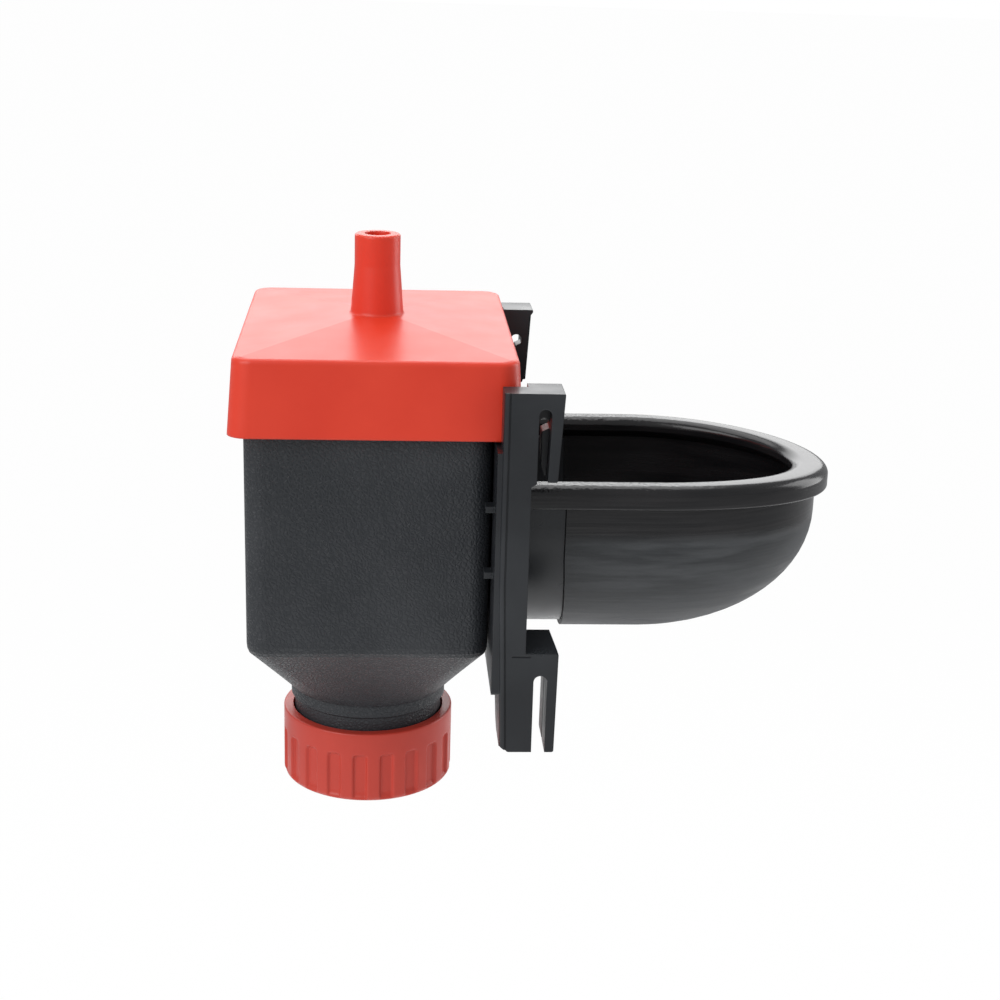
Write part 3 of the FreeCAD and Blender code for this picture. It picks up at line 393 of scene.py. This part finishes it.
FINISHES = {
    "lid": lid_red, "tank": tank_black, "bracket": bracket_black, "inlet_strainer": natural,
    "valve_body": natural, "float_lever": natural, "float": foam, "valve_body_ring": rubber,
    "valve_pad": rubber, "port_seal": rubber, "bowl_seal": rubber, "cap_gasket": rubber,
    "valve_jet": brass, "float_nuts": brass, "float_stem": threaded_brass(), "valve_screws": steel,
    "lever_pin": steel, "pin_clip": steel, "bracket_screws": steel, "bowl": bowl_black,
    "drain_cap": cap_red,
}
for node_name, finish in FINISHES.items():
    for slot in nodes[node_name].material_slots:
        slot.link = "OBJECT"
        slot.material = finish
print("dressed", len(FINISHES), "solids, bare:", sorted(set(nodes) - set(FINISHES)))

# %% [markdown]
# ## The bowl
# The bowl is one section, a round-bottomed U with a rolled rim, carried along a track: straight
# from the seam, round the long nose, and straight back. Round the nose the section's distance from
# the middle is stretched along x, and the nose dips gently, as the moulded one does, so that birds
# reach the water. A sweep by formula keeps the rim's highlight unbroken.

# %% Bowl sizes
BOWL_HALF, BOWL_WALL, BOWL_CORNER, BOWL_FLOOR = 36.2, 2.2, 35.8, -62.8
RIM_OUT, RIM_IN, RIM_ROUND, RIM_HEIGHT, LIP_HEIGHT = 2.4, 2.9, 2.4, 6.0, 3.6
SEAM_X, SEAM_LEAN, SEAM_BEND, SEAM_SLOPE_HEIGHT = 48.3, 2.0, -34.0, 29.8
NOSE_FROM, NOSE_LONG, NOSE_SAG = 70.2, 49.1, 2.4
PRONG_X = 32.3
RIM_LOW = RIM_TOP - RIM_HEIGHT
BOWL_INNER = BOWL_HALF - BOWL_WALL

wall_out = rounded_profile([(0, BOWL_FLOOR, 0), (BOWL_HALF, BOWL_FLOOR, BOWL_CORNER), (BOWL_HALF, RIM_LOW, 0)])
rim = rounded_profile([(BOWL_HALF, RIM_LOW, 0), (BOWL_HALF + RIM_OUT, RIM_LOW, 0.7),
                       (BOWL_HALF + RIM_OUT, RIM_TOP, RIM_ROUND), (BOWL_INNER - RIM_IN, RIM_TOP, RIM_ROUND),
                       (BOWL_INNER - RIM_IN, RIM_TOP - LIP_HEIGHT, 0.8), (BOWL_INNER, RIM_LOW, 0)], 7.5)
wall_in = rounded_profile([(BOWL_INNER, RIM_LOW, 0), (BOWL_INNER, BOWL_FLOOR + BOWL_WALL, BOWL_CORNER - BOWL_WALL),
                           (0, BOWL_FLOOR + BOWL_WALL, 0)])
section = np.concatenate([wall_out, rim[1:], wall_in[1:]])
OUT_END = len(wall_out) - 1
IN_START = OUT_END + len(rim) - 1
print("bowl section points", len(section))


# %% Bowl surface
def bowl_surface(section, straight=8, round_steps=96):
    """x = seam + (nose - seam) * t + stretch * r * cos a, y = r * sin a, z = height - sag * (reach / length)^2."""
    t = np.concatenate([np.linspace(0, 1, straight), np.ones(round_steps - 1), np.linspace(1, 0, straight)])
    side = np.full(straight, math.pi / 2)
    a = np.concatenate([side, np.linspace(math.pi / 2, -math.pi / 2, round_steps + 1)[1:-1], -side])
    t, a = t[:, None], a[:, None]
    r, z = section[None, :, 0], section[None, :, 1]
    seam = SEAM_X + SEAM_LEAN * np.clip((SEAM_BEND - z) / SEAM_SLOPE_HEIGHT, 0, 1)
    stretch = NOSE_LONG / BOWL_HALF
    x = seam + (NOSE_FROM - seam) * t + stretch * r * np.cos(a) * (t == 1)
    reach = np.clip(x - NOSE_FROM, 0, None) / (NOSE_LONG + RIM_OUT * stretch)
    return np.stack([x + 0 * r, r * np.sin(a) + 0 * x, z - NOSE_SAG * reach ** 2], -1)


def prong(row, start, columns):
    """Rim carried back from the seam to the bracket's plate: its points and faces, closed at the back."""
    rim_columns = np.arange(OUT_END, IN_START + 1)
    points = row[rim_columns].copy()
    points[:, 0] = PRONG_X
    near, far = columns + rim_columns, start + np.arange(len(rim_columns))
    sides = np.stack([near[:-1], near[1:], far[1:], far[:-1]], -1).tolist()
    return points, sides + [[near[0], near[-1], far[-1], far[0]], far.tolist()]


surface = bowl_surface(section)
rows, count = surface.shape[:2]
points = [surface.reshape(-1, 3)]
faces = grid_faces(rows, count)
# The outer wall's columns are marked; the bowl's finish paints them a lighter grey as painted sheen.
outer = [np.tile(np.arange(count) < OUT_END - 1, rows).astype(float)]
for first in (0, (rows - 1) * count):
    wall = list(range(first, first + OUT_END + 1)) + list(range(first + IN_START, first + count))
    faces.append(wall)
    extra, extra_faces = prong(points[0][first:first + count], sum(map(len, points)), first)
    points.append(extra)
    faces += extra_faces
    outer.append(np.zeros(len(extra)))
bowl = make_piece("bowl_dressed", np.concatenate(points), faces, "bowl_body", bowl_black,
                  outer=np.concatenate(outer))
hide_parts("bowl")

# %% [markdown]
# ## The drain cap
# A cap that wet fingers can turn: twenty flat-bottomed flutes with rounded tops run down to the
# lower edge, and a plain band stays above them. The radius at each angle and height is the turned
# profile less the flute's depth, and a flute is where the distance to its middle line is small.

# %% Cap surface
CAP_R, CAP_BORE, CAP_TOP, CAP_INSIDE, CAP_FLOOR = 23.3, 20.6, -88.5, -105.5, 3.0
CAP_AXIS_X, CAP_EDGE = -1.5, 1.8
FLUTES, FLUTE_TURN, FLUTE_HALF, FLUTE_SIDE, FLUTE_DEPTH, FLUTE_TOP = 20, -4.8, 2.15, 0.75, 0.85, -94.4
FLUTE_END, FLUTE_FADE = 0.7, 1.2
CAP_BOTTOM = CAP_INSIDE - CAP_FLOOR


def cap_surface(around=600):
    """r = profile - depth * smooth((half width - d) / side), d = (s^4 + rise^4)^(1/4) from the flute's line."""
    lower = rounded_profile([(0, CAP_BOTTOM, 0), (CAP_R - 4, CAP_BOTTOM, 0), (CAP_R, CAP_BOTTOM, CAP_EDGE),
                             (CAP_R, CAP_BOTTOM + CAP_EDGE + 1, 0)], 10)
    levels = np.linspace(CAP_BOTTOM + CAP_EDGE + 1.3, FLUTE_TOP + 0.3, 44)
    wall = np.stack([np.full_like(levels, CAP_R), levels], -1)
    upper = rounded_profile([(CAP_R, CAP_TOP - 2, 0), (CAP_R, CAP_TOP, 0.5), (CAP_BORE, CAP_TOP, 0.3),
                             (CAP_BORE, CAP_INSIDE, 0.3), (0, CAP_INSIDE, 0)], 15)
    profile = np.concatenate([lower, wall, upper])
    r, z = profile[:, None, 0], profile[:, None, 1]
    a = np.linspace(0, 2 * math.pi, around, endpoint=False)[None, :]
    pitch = 2 * math.pi / FLUTES
    s = CAP_R * ((a - math.radians(FLUTE_TURN) + pitch / 2) % pitch - pitch / 2)
    rise = np.clip(z - (FLUTE_TOP - FLUTE_HALF), 0, None)
    d = (s ** 4 + rise ** 4) ** 0.25
    edge = np.clip((FLUTE_HALF - d) / FLUTE_SIDE, 0, 1)
    outer_rows = np.arange(len(profile))[:, None] < len(lower) + len(wall)
    outside = np.clip((z - CAP_BOTTOM - FLUTE_END) / FLUTE_FADE, 0, 1) * outer_rows
    r = r - FLUTE_DEPTH * edge * edge * (3 - 2 * edge) * outside
    return np.stack([CAP_AXIS_X + r * np.cos(a), r * np.sin(a), z + 0 * a], -1)


surface = cap_surface()
cap = make_piece("drain_cap_dressed", surface, grid_faces(*surface.shape[:2], wrap=True), "cap_body",
                 cap_red, 50)
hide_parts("drain_cap")

# %% [markdown]
# ## The neck's thread
# Under the cap the neck carries a thread, seen once the cap is off. It is a low rounded ridge
# carried along a helix: each point of the ridge's little section climbs with the angle.

# %% Neck thread
NECK_R, THREAD_RISE, THREAD_HALF, THREAD_PITCH = 20.2, 0.28, 0.8, 5.0
THREAD_LOW, THREAD_TURNS = -101.6, 1.9


def thread_surface(steps=260):
    """Helix: x = r cos a, y = r sin a, z = low + pitch * a / 2 pi + offset, the ridge sinking in at its ends."""
    a = np.linspace(0, 2 * math.pi * THREAD_TURNS, steps)[:, None]
    around = np.linspace(0, 2 * math.pi, 12, endpoint=False)[None, :]
    fade = np.clip(np.minimum(a, a[-1] - a) / 0.25, 0, 1)
    r = NECK_R - 0.1 + (THREAD_RISE + 0.1) * fade * np.maximum(np.cos(around), -0.6)
    z = THREAD_LOW + THREAD_PITCH * a / (2 * math.pi) + THREAD_HALF * np.sin(around) * (0.2 + 0.8 * fade)
    return np.stack([CAP_AXIS_X + r * np.cos(a), r * np.sin(a), z], -1)


surface = thread_surface()
rows, count = surface.shape[:2]
ends = [list(range(count)), list(range((rows - 1) * count, rows * count))]
make_piece("neck_thread", surface, grid_faces(rows, count, wrap=True) + ends, "tank_body", tank_black,
           60)

# %% [markdown]
# ## Floor and light
# A pale floor lies below the hanging drinker and a wide soft lamp lights it from the upper left,
# with others over and behind it: they whiten the lid's top and edge the rims. The world is white
# only where the camera sees it, and dimmer as fill light, so the white ground costs no contrast.

# %% Floor
FLOOR_DROP, FLOOR_HALF, WHITE_SHARE = 0.50, 30.0, 0.98


def white_when_seen(tree, plain, share=1.0):
    """Mix of a plain shader with white, the white taking its share on camera rays only."""
    rays = tree.nodes.new("ShaderNodeLightPath")
    seen = maths(tree, "MULTIPLY", rays.outputs["Is Camera Ray"], share)
    mix = tree.nodes.new("ShaderNodeMixShader")
    tree.links.new(seen, mix.inputs[0])
    tree.links.new(plain, mix.inputs[1])
    return mix


floor_z = cad_box[0].z - FLOOR_DROP
floor_mesh = bpy.data.meshes.new("floor")
floor_mesh.from_pydata([(x * FLOOR_HALF, y * FLOOR_HALF, floor_z)
                        for x, y in ((-1, -1), (1, -1), (1, 1), (-1, 1))], [], [(0, 1, 2, 3)])
floor = bpy.data.objects.new("floor", floor_mesh)
bpy.context.scene.collection.objects.link(floor)
paper = bpy.data.materials.new("floor_paper")
paper.use_nodes = True
tree = paper.node_tree
matt = tree.nodes["Principled BSDF"]
matt.inputs["Base Color"].default_value = (0.90, 0.90, 0.90, 1)
matt.inputs["Roughness"].default_value = 0.9
glow = tree.nodes.new("ShaderNodeEmission")
mix = white_when_seen(tree, matt.outputs[0], share=WHITE_SHARE)
tree.links.new(glow.outputs[0], mix.inputs[2])
tree.links.new(mix.outputs[0], tree.nodes["Material Output"].inputs["Surface"])
floor_mesh.materials.append(paper)
print("floor at", round(floor_z, 4))

# %% World and lamps
FILL = 0.42
world = bpy.data.worlds.new("studio")
bpy.context.scene.world = world
world.use_nodes = True
tree = world.node_tree
fill = tree.nodes["Background"]
fill.inputs["Color"].default_value = (0.97, 0.98, 1.0, 1)
fill.inputs["Strength"].default_value = FILL
white = tree.nodes.new("ShaderNodeBackground")
white.inputs["Color"].default_value = (1, 1, 1, 1)
mix = white_when_seen(tree, fill.outputs[0])
tree.links.new(white.outputs[0], mix.inputs[2])
tree.links.new(mix.outputs[0], tree.nodes["World Output"].inputs["Surface"])

LAMPS = {
    "key": ((-0.85, -0.85, 0.70), (1.1, 1.1), 10.5),
    "over": ((-0.10, 0.40, 1.05), (1.2, 1.0), 7.0),
    "back": ((-0.10, 1.20, 0.42), (1.7, 0.62), 7.0),
    "side": ((1.00, 0.35, 0.20), (0.6, 0.9), 4.5),
}


def add_lamp(name, place, extent, power):
    """Rectangular soft lamp that faces the drinker's middle."""
    lamp = bpy.data.objects.new(name, bpy.data.lights.new(name, "AREA"))
    lamp.data.shape = "RECTANGLE"
    lamp.data.size, lamp.data.size_y = extent
    lamp.data.energy = power
    lamp.location = place
    lamp.rotation_euler = (Vector((0, 0, -0.04)) - Vector(place)).to_track_quat("-Z", "Y").to_euler()
    bpy.context.scene.collection.objects.link(lamp)


for lamp_name, (place, extent, power) in LAMPS.items():
    add_lamp(lamp_name, place, extent, power)
bpy.context.scene.view_settings.view_transform = "Standard"
print("lamps", list(LAMPS))
